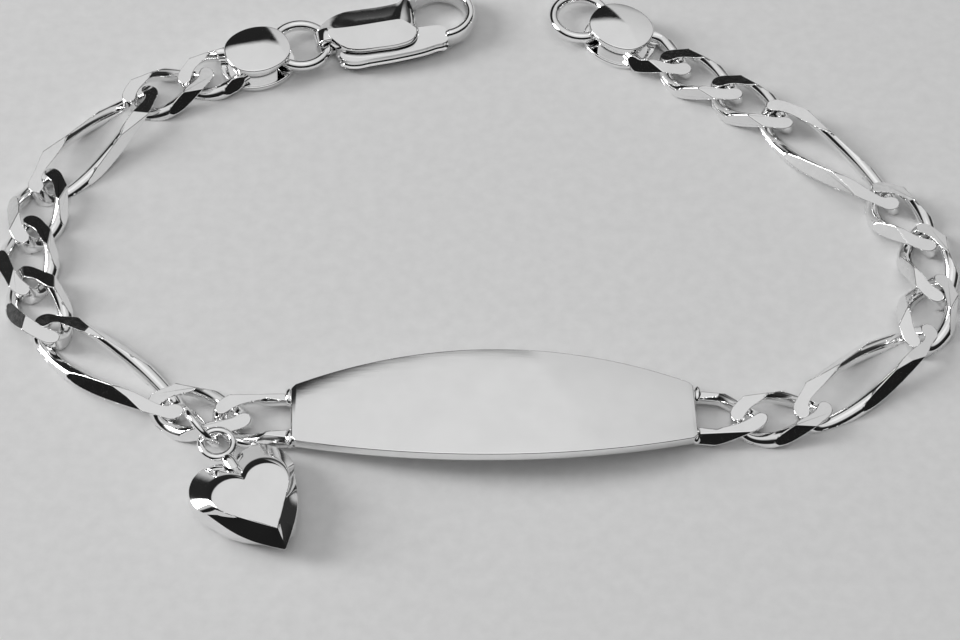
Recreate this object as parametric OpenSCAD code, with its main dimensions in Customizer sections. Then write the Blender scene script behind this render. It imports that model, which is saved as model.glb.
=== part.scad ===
// Silver identity bracelet, unfastened and lying flat: an arched name plate between two
// lengths of figaro chain, a lobster clasp on the left end and a ring on the right end,
// and a puffed heart charm on the second left link.
// The floor is Z = 0, the plate lies along X, and the loop opens towards +Y.

/* [Name plate] */
// Length of the plate
plate_len = 32.5; // [30:0.5:36]
// Width across the middle of the plate
plate_w = 10.1; // [8:0.1:11]
// Width of the plate's flat ends
plate_end_w = 5.2; // [5.2:0.1:7]
// Thickness of the plate
plate_t = 0.95; // [0.8:0.05:1.1]
// How far the middle of the plate stands above its ends
plate_rise = 1.5; // [1:0.1:2]
// Radius of the plate's four corners
plate_corner_r = 0.5; // [0.3:0.1:0.8]

/* [Chain] */
// Outer length of a short link
short_len = 8.56; // [8.5:0.02:8.7]
// Outer length of a long link
long_len = 15.44; // [15.4:0.02:15.6]
// Outer width of every link
link_w = 5.3; // [5.3:0.02:5.4]
// Thickness of the links' wire
wire_d = 1.38; // [1.3:0.02:1.38]
// Thickness that the links are ground to
link_t = 1.8; // [1.76:0.02:1.84]
// How far one link reaches into the next
overlap = 3.26; // [3.2:0.02:3.3]
// Twist of a short link, from its middle to its end
short_twist = 54; // [54:1:56]
// Twist of a long link, from its middle to its end
long_twist = 56; // [56:1:60]

/* [End tags] */
// Length and width of a tag's upper leaf
tag_top_len = 5.9; // [5.6:0.1:6.2]
tag_top_w = 5.2; // [5:0.1:5.4]
// How far the lower leaf stands out past the upper leaf
tag_step = 0.4; // [0.2:0.05:0.5]
// Thickness of a leaf
leaf_t = 0.5; // [0.4:0.05:0.55]
// Height of the slot between the leaves
slot_h = 1.25; // [1.2:0.05:1.4]
// From the last chain joint to the middle of a tag
tag_reach = 5.9; // [5.8:0.1:6.1]
// Radius of the post that holds a tag's ring
post_r = 0.36; // [0.3:0.02:0.38]

/* [Rings] */
// Outer diameter of the two end rings
end_ring_d = 5.8; // [5.7:0.05:5.9]
// Thickness of the end rings' wire
end_ring_wire = 0.95; // [0.85:0.05:0.95]
// Outer diameter of the charm's ring
charm_ring_d = 4.2; // [4.2:0.05:4.3]
// Thickness of the charm ring's wire
charm_ring_wire = 0.6; // [0.5:0.02:0.6]

/* [Clasp] */
// Thickness of the clasp's body
clasp_t = 2.3; // [2.2:0.05:2.4]
// Thickness of the lever
lever_t = 1.1; // [0.9:0.05:1.1]
// Outer radius of the hook's bow
hook_r = 3.2; // [3.1:0.05:3.3]
// Inner radius of the hook's bow
hook_hole_r = 2.3; // [2.2:0.05:2.35]
// Radius of the lever's pivot pin
pivot_r = 0.4; // [0.35:0.01:0.42]
// Room around the lever's pivot pin
pivot_play = 0.05; // [0.03:0.01:0.08]

/* [Heart charm] */
// Width across the heart's lobes
heart_w = 8.35; // [8:0.05:8.6]
// Height of the heart from lobes to tip
heart_len = 9; // [8.6:0.1:9.2]
// Thickness of the heart
heart_t = 3.5; // [3.2:0.1:3.8]
// Size of the flat on the heart's face, as a share of its outline
heart_flat = 0.7; // [0.6:0.02:0.76]
// Outer diameter of the ring soldered to the heart
bail_d = 3.04; // [2.9:0.02:3.2]
// Thickness of that ring's wire
bail_wire = 0.64; // [0.56:0.02:0.64]

/* [Hidden] */
$fn = 64;

// The plan has the plate's middle at its origin; this centres the whole object on Z.
centre = [-0.2, 17.05];

// Chain rows, from the plate outwards. Columns: kind of link, heading in degrees.
KIND = 0;
HEADING = 1;
left_rows = [["short", 166.8], ["long", 142.5], ["short", 115.1], ["short", 91.5],
    ["short", 77.1], ["long", 51.8], ["short", 27]];
right_rows = [["short", 8.3], ["long", 36.5], ["short", 65.5], ["short", 93.3],
    ["short", 120.8], ["long", 132.9], ["short", 141.4], ["short", 144.8]];
left_first_heading = 180.7;   // heading of the link soldered to the plate's left end
right_first_heading = -6;     // heading of the link soldered to its right end
left_solder = 4.59;           // from the plate's left end to the first chain joint
right_solder = 4.33;          // the same on the right
left_tag_heading = 24;
right_tag_heading = 143;

// Wire sweep
wire_sides = 6;
short_stations = 32;
long_stations = 48;
short_square = 2.5;   // exponent of a short link's superellipse plan
long_square = 4;      // exponent of a long link's
link_z = link_t / 2;

silver = [0.85, 0.85, 0.86];
polished = [0.93, 0.93, 0.94];

function along(heading) = [cos(heading), sin(heading)];
function half_pitch(kind) = ((kind == "long" ? long_len : short_len) - overlap) / 2;
function joint_at(start, rows, i) = i == 0 ? start
    : joint_at(start, rows, i - 1) + 2 * half_pitch(rows[i - 1][KIND]) * along(rows[i - 1][HEADING]);
function link_centre(start, rows, i) =
    joint_at(start, rows, i) + half_pitch(rows[i][KIND]) * along(rows[i][HEADING]);

left_start = [-plate_len / 2, 0] + left_solder * along(left_first_heading);
right_start = [plate_len / 2, 0] + right_solder * along(right_first_heading);
left_last = joint_at(left_start, left_rows, len(left_rows));
right_last = joint_at(right_start, right_rows, len(right_rows));

// Links

// Plan of a link's centre line: a superellipse, |x/a|^q + |y/b|^q = 1.
function plan_at(t, a, b, q) =
    let (k = pow(pow(abs(cos(t)), q) + pow(abs(sin(t)), q), -1 / q)) [a * cos(t) * k, b * sin(t) * k];
function outward(t, a, b, q) =
    let (d = plan_at(t + 1, a, b, q) - plan_at(t - 1, a, b, q)) [d.y, -d.x] / norm(d);

// One point of the twisted wire, at the angle s round it: p is the centre line's plan and n points
// out of the link. The link's plane turns about X by turn_rate for each millimetre of x, not below
// turn_from, and whatever stands above or below the ground faces is laid onto them.
function wire_at(p, n, s, turn_rate, turn_from) =
    let (r = wire_d / 2, x = p.x + r * cos(s) * n.x, y = p.y + r * cos(s) * n.y, z = r * sin(s),
         turn = -turn_rate * max(x, turn_from))
    [x, y * cos(turn) - z * sin(turn), max(-link_t / 2, min(link_t / 2, y * sin(turn) + z * cos(turn)))];

// Triangles between rings of points, with the last ring joined to the first or closed by flat caps.
// Seen from its start the tube's rings run anticlockwise.
function tube_faces(rings, sides, closed) = concat(
    [for (i = [0 : rings - (closed ? 1 : 2)], j = [0 : sides - 1])
        let (a = i * sides + j, b = i * sides + (j + 1) % sides,
             c = ((i + 1) % rings) * sides + (j + 1) % sides, d = ((i + 1) % rings) * sides + j)
        each [[a, b, c], [a, c, d]]],
    closed ? [] : [[for (j = [sides - 1 : -1 : 0]) j], [for (j = [0 : sides - 1]) (rings - 1) * sides + j]]);

// A wire link lying along X about the origin. With a run it is the outer half of a link, and its two
// sides go straight on for that length towards -X.
module wire_link(kind, run = 0) {
    long = kind == "long";
    stations = long ? long_stations : short_stations;
    a = ((long ? long_len : short_len) - wire_d) / 2;
    b = (link_w - wire_d) / 2;
    q = long ? long_square : short_square;
    half = run > 0;
    turns = half ? [for (i = [0 : stations / 2]) 360 * i / stations - 90]
                 : [for (i = [0 : stations - 1]) 360 * i / stations];
    // each station is a plan point and the way out from it
    bend = [for (t = turns) [plan_at(t, a, b, q), outward(t, a, b, q)]];
    route = half ? concat([[[-run, -b], [0, -1]]], bend, [[[-run, b], [0, 1]]]) : bend;
    polyhedron(
        points = [for (w = route, j = [0 : wire_sides - 1])
            wire_at(w[0], w[1], 360 * (j + 0.5) / wire_sides,
                (long ? long_twist : short_twist) / a, half ? 0 : -a - wire_d)],
        faces = tube_faces(len(route), wire_sides, !half));
}

module on_plan(at, heading, z = 0) {
    translate([at.x - centre.x, at.y - centre.y, z]) rotate(heading) children();
}

module chain_link(start, rows, i) {
    color(silver) on_plan(link_centre(start, rows, i), rows[i][HEADING], link_z) wire_link(rows[i][KIND]);
}

// Name plate

// Radius of the arc through a chord's ends and a point that stands rise above its middle
function arc_radius(chord, rise) = (chord * chord / 4 + rise * rise) / (2 * rise);

plate_end_z = 0.75;   // underside of the plate's ends
plate_bow_r = arc_radius(plate_len, (plate_w - plate_end_w) / 2);
plate_arch_r = arc_radius(plate_len, plate_rise);
arc_steps = 24;

// One long edge of the plate's outline, left to right, as points on its arc
function bow_edge() = let (half = asin((plate_len / 2 - plate_corner_r) / plate_bow_r))
    [for (i = [0 : arc_steps]) let (t = half * (2 * i / arc_steps - 1))
        [plate_bow_r * sin(t), plate_w / 2 - plate_bow_r * (1 - cos(t))]];

module plate_outline() {
    edge = bow_edge();
    end_y = plate_end_w / 2 - plate_corner_r;
    polygon(concat(edge, [[plate_len / 2, end_y], [plate_len / 2, -end_y]],
        [for (i = [arc_steps : -1 : 0]) [edge[i].x, -edge[i].y]],
        [[-plate_len / 2, -end_y], [-plate_len / 2, end_y]]));
}

// Half a chain link soldered under an end of the plate: its outer end carries the chain
plate_lap = 0.7;      // how far the half link's sides run under the plate

module soldered_link(end_x, reach, heading) {
    set_out = reach - half_pitch("short");
    on_plan([end_x, 0] + set_out * along(heading), heading, link_z) wire_link("short", set_out + plate_lap);
}

module id_plate() {
    color(silver) {
        translate([-centre.x, -centre.y, 0]) intersection() {
            linear_extrude(height = 2 * (plate_rise + plate_t + plate_end_z)) plate_outline();
            translate([0, plate_w, plate_end_z + plate_t + plate_rise - plate_arch_r]) rotate([90, 0, 0])
                difference() {
                    cylinder(r = plate_arch_r, h = 2 * plate_w, $fn = 128);
                    translate([0, 0, -1]) cylinder(r = plate_arch_r - plate_t, h = 2 * plate_w + 2, $fn = 128);
                }
        }
        soldered_link(-plate_len / 2, left_solder, left_first_heading);
        soldered_link(plate_len / 2, right_solder, right_first_heading);
    }
}

// End tags

tag_t = 2 * leaf_t + slot_h;
ring_line_r = (end_ring_d - end_ring_wire) / 2;   // radius of an end ring's centre line
ring_from_tag = 4.05;      // from the tag's middle to its ring's centre
post_x = 2.62;             // the post, just inside the ring's hole
core_end_x = 0.95;         // the solid core stops short of the ring's wire
core_w = 4.6;
tag_lap_x = -1.3;          // the half link's sides run in between the leaves to here
core_inset = 0.6;          // how much shorter the core is than the upper leaf
leaf_reach = 1.25;         // where a leaf's two sides would meet, as a share of its length
solder = 0.1;              // how far one soldered piece runs into the next

// An oval leaf: the overlap of two equal discs, cut to length by a third
module leaf(l, w, h) {
    side_r = arc_radius(l * leaf_reach, w / 2);
    intersection() {
        translate([0, w / 2 - side_r, 0]) cylinder(r = side_r, h = h, $fn = 96);
        translate([0, side_r - w / 2, 0]) cylinder(r = side_r, h = h, $fn = 96);
        cylinder(d = l, h = h, $fn = 96);
    }
}

module end_tag() {
    leaf(tag_top_len + 2 * tag_step, tag_top_w + 2 * tag_step, leaf_t);
    translate([0, 0, leaf_t + slot_h]) leaf(tag_top_len, tag_top_w, leaf_t);
    intersection() {
        leaf(tag_top_len - core_inset, core_w, leaf_t + slot_h + solder);
        translate([-tag_top_len, -core_w, 0]) cube([tag_top_len + core_end_x, 2 * core_w, tag_t]);
    }
    translate([post_x, 0, 0]) cylinder(r = post_r, h = tag_t - solder, $fn = 32);
}

module chain_end(last, heading) {
    color(silver) {
        on_plan(last + tag_reach * along(heading), heading) end_tag();
        on_plan(last + half_pitch("short") * along(heading), heading + 180, link_z)
            wire_link("short", tag_reach - half_pitch("short") + tag_lap_x);
    }
}

// Rings

module torus(line_r, wire, sides = 64) {
    rotate_extrude($fn = sides) translate([line_r, 0]) circle(d = wire, $fn = 24);
}

left_ring_heading = 20;
right_ring_heading = 150;
left_ring_at = left_last + tag_reach * along(left_tag_heading) + ring_from_tag * along(left_ring_heading);
right_ring_at = right_last + tag_reach * along(right_tag_heading) + ring_from_tag * along(right_ring_heading);

module end_ring_at(at) {
    color(polished) on_plan(at, 0, tag_t / 2) torus(ring_line_r, end_ring_wire);
}

// The charm's ring stands on the floor and leans, round the near side of the second left link
charm_ring_at = [-23.24, -1.47];
charm_ring_heading = -57.5;
charm_ring_lean = 24.6;
floor_gap = 0.02;           // the ring just clears the floor
charm_line_r = (charm_ring_d - charm_ring_wire) / 2;
charm_ring_z = charm_line_r * cos(charm_ring_lean) + charm_ring_wire / 2 + floor_gap;

module charm_ring() {
    color(polished) on_plan(charm_ring_at, charm_ring_heading, charm_ring_z)
        rotate([charm_ring_lean, 0, 0]) rotate([90, 0, 0]) torus(charm_line_r, charm_ring_wire);
}

// Clasp
// Its own frame: X from the ring's wire in the eye to the hook, Y to the hook's closed side.

clasp_heading = 12;
clasp_at = left_ring_at + ring_line_r * along(10);
hook_at = [10.55, 1.02];
eye_r = clasp_t / 2;
eye_hole_r = 0.68;
eye_w = 1.5;
pivot_at = [4.6, -0.9];
hook_tip_x = 10.3;          // the hook's end face
gate_end_x = 10.12;         // the lever's end, just short of it
lever_play = 0.12;          // room above and below the lever
slot_z = (clasp_t - lever_t) / 2 - lever_play;
boss_share = 2.2;           // the lever's boss round its pin, in pin radii

body_outline = [[0.3, -0.75], [0.3, 0.75], [0.95, 1.85], [2.1, 2.62], [6.6, 2.72], [7.9, 3.3],
    [9.4, 3.9], [9.4, -0.9], [7.95, -1.3], [7.3, -2.3], [5.9, -2.62], [2.3, -2.5], [1.0, -1.9]];
// Room for the lever, from shut to open, seen from above
slot_outline = [[0.55, -2.0], [3.3, -1.35], [3.3, -0.2], [4.1, 0.45], [5.2, 0.5], [9.6, 2.4],
    [9.6, -4], [0.55, -4]];
lever_outline = [[gate_end_x, -1.02], [gate_end_x, -2.2], [7.7, -2.8], [5.4, -2.95], [3.2, -2.95],
    [2.6, -3.2], [1.3, -3.1], [0.95, -2.6], [3.0, -2.1], [3.9, -1.4], [4.4, -0.1], [5.2, -0.3], [8.2, -0.8]];

module hook_bow() {
    difference() {
        cylinder(r = hook_r, h = clasp_t, $fn = 96);
        translate([0, 0, -1]) cylinder(r = hook_hole_r, h = clasp_t + 2, $fn = 96);
        // cut away between the hook's tip and the body
        translate([hook_tip_x - hook_at.x - 2 * hook_r, -2 * hook_r, -1])
            cube([2 * hook_r, 2 * hook_r, clasp_t + 2]);
    }
}

module clasp_eye() {
    translate([0, eye_w / 2, eye_r]) rotate([90, 0, 0]) cylinder(r = eye_r, h = eye_w, $fn = 48);
}

module clasp_body() {
    color(polished) on_plan(clasp_at, clasp_heading) {
        difference() {
            union() {
                difference() {
                    linear_extrude(height = clasp_t) polygon(body_outline);
                    translate([hook_at.x, hook_at.y, -1])
                        cylinder(r = hook_hole_r, h = clasp_t + 2, $fn = 96);
                }
                translate([hook_at.x, hook_at.y, 0]) hook_bow();
                clasp_eye();
            }
            translate([0, eye_w, eye_r]) rotate([90, 0, 0]) cylinder(r = eye_hole_r, h = 2 * eye_w, $fn = 48);
            translate([0, 0, slot_z]) linear_extrude(height = clasp_t - 2 * slot_z) polygon(slot_outline);
        }
        translate([pivot_at.x, pivot_at.y, slot_z / 2])
            cylinder(r = pivot_r, h = clasp_t - slot_z, $fn = 48);
    }
}

module clasp_lever() {
    color(polished) on_plan(clasp_at, clasp_heading, (clasp_t - lever_t) / 2) difference() {
        union() {
            linear_extrude(height = lever_t) polygon(lever_outline);
            translate([pivot_at.x, pivot_at.y, 0]) cylinder(r = boss_share * pivot_r, h = lever_t, $fn = 48);
        }
        translate([pivot_at.x, pivot_at.y, -1])
            cylinder(r = pivot_r + pivot_play, h = lever_t + 2, $fn = 48);
    }
}

// Heart charm
// Its own frame: X from the bail's centre to the heart's tip.

heart_at = [-22.2, -2.77];
heart_heading = -61.6;
bail_z = 2.24;
heart_top_x = 1.8;         // the lobes' tops
heart_pole_x = 5.6;        // every section of the heart is scaled about this point
heart_sides = 64;
heart_levels = 8;
heart_edge_angle = 62;     // how far round its rim the heart's side curves before the flat
lobe_r = 2.35;
side_swell = 0.2;
neck_r = 0.42;             // the short neck between the bail and the heart

// The outline of one half, from the tip to the cleft, as a share u of 0 to 1: first the side, a
// straight line that swells a little in its middle, then the lobe, an arc of lobe_r.
lobe_at = [heart_top_x + lobe_r, heart_w / 2 - lobe_r];
tip_x = heart_top_x + heart_len;
lobe_away = norm([tip_x - lobe_at.x, lobe_at.y]);
side_angle = atan2(lobe_at.y, tip_x - lobe_at.x) + asin(lobe_r / lobe_away);
side_len = sqrt(lobe_away * lobe_away - lobe_r * lobe_r);
lobe_end = 180 + asin(lobe_at.y / lobe_r) - 2;   // the lobe's arc ends just short of the cleft
side_share = 0.35;

function heart_half(u) = u < side_share
    ? let (w = u / side_share, l = w * side_len, bulge = side_swell * sin(180 * w))
        [tip_x - l * cos(side_angle) + bulge * sin(side_angle), l * sin(side_angle) + bulge * cos(side_angle)]
    : let (w = (u - side_share) / (1 - side_share),
           t = 90 - side_angle + w * (lobe_end - 90 + side_angle))
        lobe_at + lobe_r * [cos(t), sin(t)];
function heart_outline(i) =
    let (u = (i + 0.5) / heart_sides, p = heart_half(u < 0.5 ? 2 * u : 2 - 2 * u))
    [p.x - heart_pole_x, u < 0.5 ? -p.y : p.y];

module heart_body() {
    angles = [for (k = [0 : heart_levels]) heart_edge_angle * (2 * k / heart_levels - 1)];
    points = [for (a = angles, i = [0 : heart_sides - 1])
        let (share = heart_flat + (1 - heart_flat) * (cos(a) - cos(heart_edge_angle)) / (1 - cos(heart_edge_angle)),
             p = heart_outline(i))
        [heart_pole_x + share * p.x, share * p.y, heart_t / 2 * (1 + sin(a) / sin(heart_edge_angle))]];
    polyhedron(points = points, faces = tube_faces(len(angles), heart_sides, false));
}

module heart_charm() {
    color(polished) on_plan(heart_at, heart_heading) {
        heart_body();
        translate([0, 0, bail_z]) torus((bail_d - bail_wire) / 2, bail_wire, 48);
        translate([(bail_d - bail_wire) / 2, 0, bail_z - solder]) rotate([0, 90, 0])
            cylinder(r = neck_r, h = heart_pole_x - bail_d, $fn = 24);
    }
}

// Sub-parts

module left_link_2() { chain_link(left_start, left_rows, 0); }
module left_link_3() { chain_link(left_start, left_rows, 1); }
module left_link_4() { chain_link(left_start, left_rows, 2); }
module left_link_5() { chain_link(left_start, left_rows, 3); }
module left_link_6() { chain_link(left_start, left_rows, 4); }
module left_link_7() { chain_link(left_start, left_rows, 5); }
module left_link_8() { chain_link(left_start, left_rows, 6); }
module left_end_tag() { chain_end(left_last, left_tag_heading); }
module jump_ring() { end_ring_at(left_ring_at); }
module right_link_2() { chain_link(right_start, right_rows, 0); }
module right_link_3() { chain_link(right_start, right_rows, 1); }
module right_link_4() { chain_link(right_start, right_rows, 2); }
module right_link_5() { chain_link(right_start, right_rows, 3); }
module right_link_6() { chain_link(right_start, right_rows, 4); }
module right_link_7() { chain_link(right_start, right_rows, 5); }
module right_link_8() { chain_link(right_start, right_rows, 6); }
module right_link_9() { chain_link(right_start, right_rows, 7); }
module right_end_tag() { chain_end(right_last, right_tag_heading); }
module end_ring() { end_ring_at(right_ring_at); }

id_plate();
left_link_2();
left_link_3();
left_link_4();
left_link_5();
left_link_6();
left_link_7();
left_link_8();
left_end_tag();
jump_ring();
clasp_body();
clasp_lever();
right_link_2();
right_link_3();
right_link_4();
right_link_5();
right_link_6();
right_link_7();
right_link_8();
right_link_9();
right_end_tag();
end_ring();
charm_ring();
heart_charm();
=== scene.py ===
"""Looks of the silver identity bracelet: name plate, figaro chain, end tags, rings, clasp and heart.

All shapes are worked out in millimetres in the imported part's own frame, and are scaled to metres as
they become meshes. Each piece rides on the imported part's bodies and stands for one of its nodes.
"""
import logging
import math
from dataclasses import dataclass
from enum import Enum

import bmesh
import bpy
import numpy as np
from mathutils import Matrix, Vector


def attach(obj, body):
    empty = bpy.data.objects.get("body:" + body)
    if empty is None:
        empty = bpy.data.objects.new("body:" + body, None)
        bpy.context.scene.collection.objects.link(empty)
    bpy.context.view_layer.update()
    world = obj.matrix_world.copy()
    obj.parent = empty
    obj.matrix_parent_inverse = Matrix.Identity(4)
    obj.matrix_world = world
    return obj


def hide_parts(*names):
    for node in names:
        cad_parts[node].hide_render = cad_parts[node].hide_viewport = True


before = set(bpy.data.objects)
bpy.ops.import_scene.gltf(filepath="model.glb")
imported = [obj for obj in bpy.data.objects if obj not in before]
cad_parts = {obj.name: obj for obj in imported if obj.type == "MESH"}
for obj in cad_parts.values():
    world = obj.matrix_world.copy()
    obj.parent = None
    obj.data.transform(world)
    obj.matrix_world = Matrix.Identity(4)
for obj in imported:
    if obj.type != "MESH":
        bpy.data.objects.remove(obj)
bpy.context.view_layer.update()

log = logging.getLogger("id_bracelet")
MM = 0.001
Points = np.ndarray
Faces = list[list[int]]
Surface = tuple[Points, Faces]
Pair = tuple[float, float]
Triple = tuple[float, float, float]
Socket = bpy.types.NodeSocket


class Body(Enum):
    """The part's two bodies."""

    BRACELET = "bracelet"
    LEVER = "lever"


class Slot(Enum):
    """The record's material slots."""

    SILVER = "silver"
    POLISHED = "polished_silver"


class LinkKind(Enum):
    """The figaro chain's two links."""

    SHORT = "short"
    LONG = "long"


@dataclass(frozen=True)
class Seat:
    """Where a piece lies: a point of the plan, a heading in degrees and a height, in millimetres."""

    x: float
    y: float
    heading: float = 0.0
    z: float = 0.0

    def place(self, points: Points) -> Points:
        """Points of the piece's own frame, turned about Z by the heading and moved to the seat."""
        c, s = along(self.heading)
        return points @ np.array([[c, s, 0.0], [-s, c, 0.0], [0.0, 0.0, 1.0]]) + (self.x, self.y, self.z)


@dataclass(frozen=True)
class Cut:
    """A flat cut: what is kept has normal . p <= offset."""

    normal: Triple
    offset: float

    @classmethod
    def leaning(cls, lean: float, towards: Pair, through: Triple) -> "Cut":
        """A cut whose normal leans from straight up.

        Args:
            lean: how far it leans, in degrees.
            towards: the plan direction that it leans to.
            through: a point on the cut.

        Returns:
            The cut.
        """
        up, out = along(lean)
        normal = np.array([out * towards[0], out * towards[1], up])
        return cls(tuple(normal), float(normal @ np.array(through)))


def along(heading: float) -> np.ndarray:
    """The plan direction of a heading in degrees."""
    return np.array([math.cos(math.radians(heading)), math.sin(math.radians(heading))])


def angles(start: float, stop: float, count: int) -> np.ndarray:
    """Even angles from start to stop, which are in degrees, in radians."""
    return np.radians(np.linspace(start, stop, count))


def spokes(turn: np.ndarray) -> Points:
    """The plan directions of angles in radians."""
    return np.stack([np.cos(turn), np.sin(turn)], -1)


def circle(count: int) -> Points:
    """Points round a circle of radius 1."""
    return spokes(np.linspace(0, 2 * np.pi, count, endpoint=False))


def turned(x: np.ndarray, y: np.ndarray, z: np.ndarray, turn: np.ndarray | float) -> Points:
    """Points turned about X, by one angle in radians or one for each."""
    c, s = np.cos(turn), np.sin(turn)
    return np.stack([x, y * c - z * s, y * s + z * c], -1)


def ease(u: np.ndarray) -> np.ndarray:
    """The smooth step, 3 u^2 - 2 u^3."""
    return u * u * (3 - 2 * u)


def grid_faces(rows: int, columns: int, close_rows: bool = False) -> Faces:
    """Four-sided faces between the points of a grid, point (i, j) being number i * columns + j. Each
    row's last point joins its first.

    Args:
        rows: rows of points.
        columns: points in a row.
        close_rows: whether the last row joins the first.

    Returns:
        The faces.
    """
    i = np.arange(rows if close_rows else rows - 1)[:, None]
    j = np.arange(columns)[None, :]
    beside = (j + 1) % columns
    above = (i + 1) % rows
    corners = [i * columns + j, i * columns + beside, above * columns + beside, above * columns + j]
    return np.stack(corners, -1).reshape(-1, 4).tolist()


def capped(rings: Points) -> Surface:
    """A closed surface of rings of points, its first and last ring closed by one flat face each.

    Args:
        rings: array of rings by points by 3.

    Returns:
        Its points and faces.
    """
    rows, columns = rings.shape[:2]
    faces = grid_faces(rows, columns)
    faces.append(list(range(columns - 1, -1, -1)))
    faces.append(list(range((rows - 1) * columns, rows * columns)))
    return rings.reshape(-1, 3), faces


def joined(rings: Points) -> Surface:
    """A closed surface of rings of points, its last ring joined to its first."""
    return rings.reshape(-1, 3), grid_faces(*rings.shape[:2], close_rows=True)


def even_path(path: Points, count: int, closed: bool) -> Points:
    """Points at even steps along a line: each is found by its length along the line.

    Args:
        path: the line's points.
        count: how many even points.
        closed: whether the line's end joins its start.

    Returns:
        The even points.
    """
    if closed:
        path = np.vstack([path, path[:1]])
    run = np.concatenate([[0.0], np.cumsum(np.linalg.norm(np.diff(path, axis=0), axis=1))])
    want = np.linspace(0, run[-1], count + 1)[:-1] if closed else np.linspace(0, run[-1], count)
    return np.stack([np.interp(want, run, path[:, k]) for k in range(path.shape[1])], -1)


def smooth_loop(corners: tuple[Pair, ...], per_side: int) -> Points:
    """A closed curve through its corners: between two corners it is the cubic that leaves each of
    them along the line joining that corner's two neighbours.

    Args:
        corners: the points that it goes through.
        per_side: points from one corner to the next.

    Returns:
        Points of the curve, per_side for each corner.
    """
    p1 = np.array(corners, float)[:, None, :]
    p0, p2, p3 = np.roll(p1, 1, 0), np.roll(p1, -1, 0), np.roll(p1, -2, 0)
    t = (np.arange(per_side) / per_side)[None, :, None]
    curve = 0.5 * (2 * p1 + (p2 - p0) * t + (2 * p0 - 5 * p1 + 4 * p2 - p3) * t ** 2
                   + (3 * p1 - p0 - 3 * p2 + p3) * t ** 3)
    return curve.reshape(-1, 2)


def inset(outline: Points, depth: np.ndarray | float) -> Points:
    """An outline moved inwards along its own normals.

    Args:
        outline: a closed curve's points, anticlockwise.
        depth: how far, one number or one for each point.

    Returns:
        The moved points.
    """
    run = np.roll(outline, -1, 0) - np.roll(outline, 1, 0)
    normal = np.stack([-run[:, 1], run[:, 0]], -1) / np.linalg.norm(run, axis=1)[:, None]
    return outline + normal * np.reshape(depth, (-1, 1))


def rounded_rims(low: float, high: float, r: float, steps: int) -> tuple[np.ndarray, np.ndarray]:
    """The rings of an upright wall whose two rims are quarter circles. Round the lower one a ring lies
    r (1 - sin t) in from the wall and r (1 - cos t) up, and the upper one is its mirror image.

    Args:
        low: height of the underside.
        high: height of the top.
        r: the rims' radius.
        steps: rings round one rim.

    Returns:
        How far in and how high each ring lies.
    """
    turn = angles(0, 90, steps)
    first, last = r * (1 - np.sin(turn)), r * (1 - np.cos(turn))
    return np.concatenate([first, last]), np.concatenate([low + last, high - first])


def stack(outlines: list[Points], heights: list[np.ndarray | float]) -> Points:
    """Rings of 3-D points from plan outlines and their heights, each one number or one for each point."""
    rows = zip(outlines, heights)
    return np.stack([np.column_stack([o, np.broadcast_to(np.asarray(h, float), len(o))]) for o, h in rows])


def lay_mesh(name: str, points: Points, faces: Faces) -> bpy.types.Mesh:
    """Makes a smooth-shaded mesh.

    Args:
        name: its name.
        points: its points, in millimetres.
        faces: its faces.

    Returns:
        The mesh, in metres.
    """
    mesh = bpy.data.meshes.new(name)
    mesh.from_pydata((np.asarray(points) * MM).tolist(), [], faces)
    mesh.polygons.foreach_set("use_smooth", np.ones(len(mesh.polygons), bool))
    mesh.validate()
    return mesh


def solid(name: str, surface: Surface, seat: Seat, sharp: float) -> bpy.types.Mesh:
    """Makes a closed mesh at its seat, turns every face outwards, shades end faces flat, and marks as
    sharp the edges that bend by more than an angle.

    Args:
        name: its name.
        surface: its points and faces, in its own frame.
        seat: where it lies.
        sharp: the angle in degrees.

    Returns:
        The mesh.
    """
    mesh = lay_mesh(name, seat.place(surface[0]), surface[1])
    bm = bmesh.new()
    bm.from_mesh(mesh)
    bmesh.ops.recalc_face_normals(bm, faces=bm.faces[:])
    limit = math.radians(sharp)
    for face in bm.faces:
        face.smooth = len(face.verts) < 5
    for edge in bm.edges:
        edge.smooth = edge.smooth and edge.calc_face_angle(0.0) < limit
    bm.to_mesh(mesh)
    bm.free()
    return mesh


def mesh_points(mesh: bpy.types.Mesh) -> Points:
    """A mesh's points.

    Args:
        mesh: the mesh.

    Returns:
        Rows of x, y, z, in metres.
    """
    co = np.empty(len(mesh.vertices) * 3)
    mesh.vertices.foreach_get("co", co)
    return co.reshape(-1, 3)


def grind(mesh: bpy.types.Mesh, cuts: list[Cut], snap: float) -> None:
    """Cuts a closed mesh flat, keeping what lies behind every cut, and closes each cut with one flat face.

    Points nearer a cut than snap are first laid onto it, p - (normal . p - offset) normal, so that no
    sliver is left beside it.

    Args:
        mesh: the mesh, in metres.
        cuts: the flat cuts, in millimetres.
        snap: that distance, in millimetres.
    """
    co = mesh_points(mesh)
    for cut in cuts:
        normal = np.array(cut.normal)
        over = co @ normal - cut.offset * MM
        close = np.abs(over) < snap * MM
        co[close] -= over[close, None] * normal
    mesh.vertices.foreach_set("co", co.ravel())
    bm = bmesh.new()
    bm.from_mesh(mesh)
    for cut in cuts:
        normal = Vector(cut.normal)
        everything = bm.verts[:] + bm.edges[:] + bm.faces[:]
        done = bmesh.ops.bisect_plane(bm, geom=everything, dist=1e-8, plane_co=normal * cut.offset * MM,
                                      plane_no=normal, clear_outer=True)
        rim = [e for e in done["geom_cut"] if isinstance(e, bmesh.types.BMEdge) and e.is_boundary]
        if rim:
            for face in bmesh.ops.holes_fill(bm, edges=rim, sides=0)["faces"]:
                face.smooth = False
    bmesh.ops.recalc_face_normals(bm, faces=bm.faces[:])
    bm.to_mesh(mesh)
    bm.free()


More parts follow.
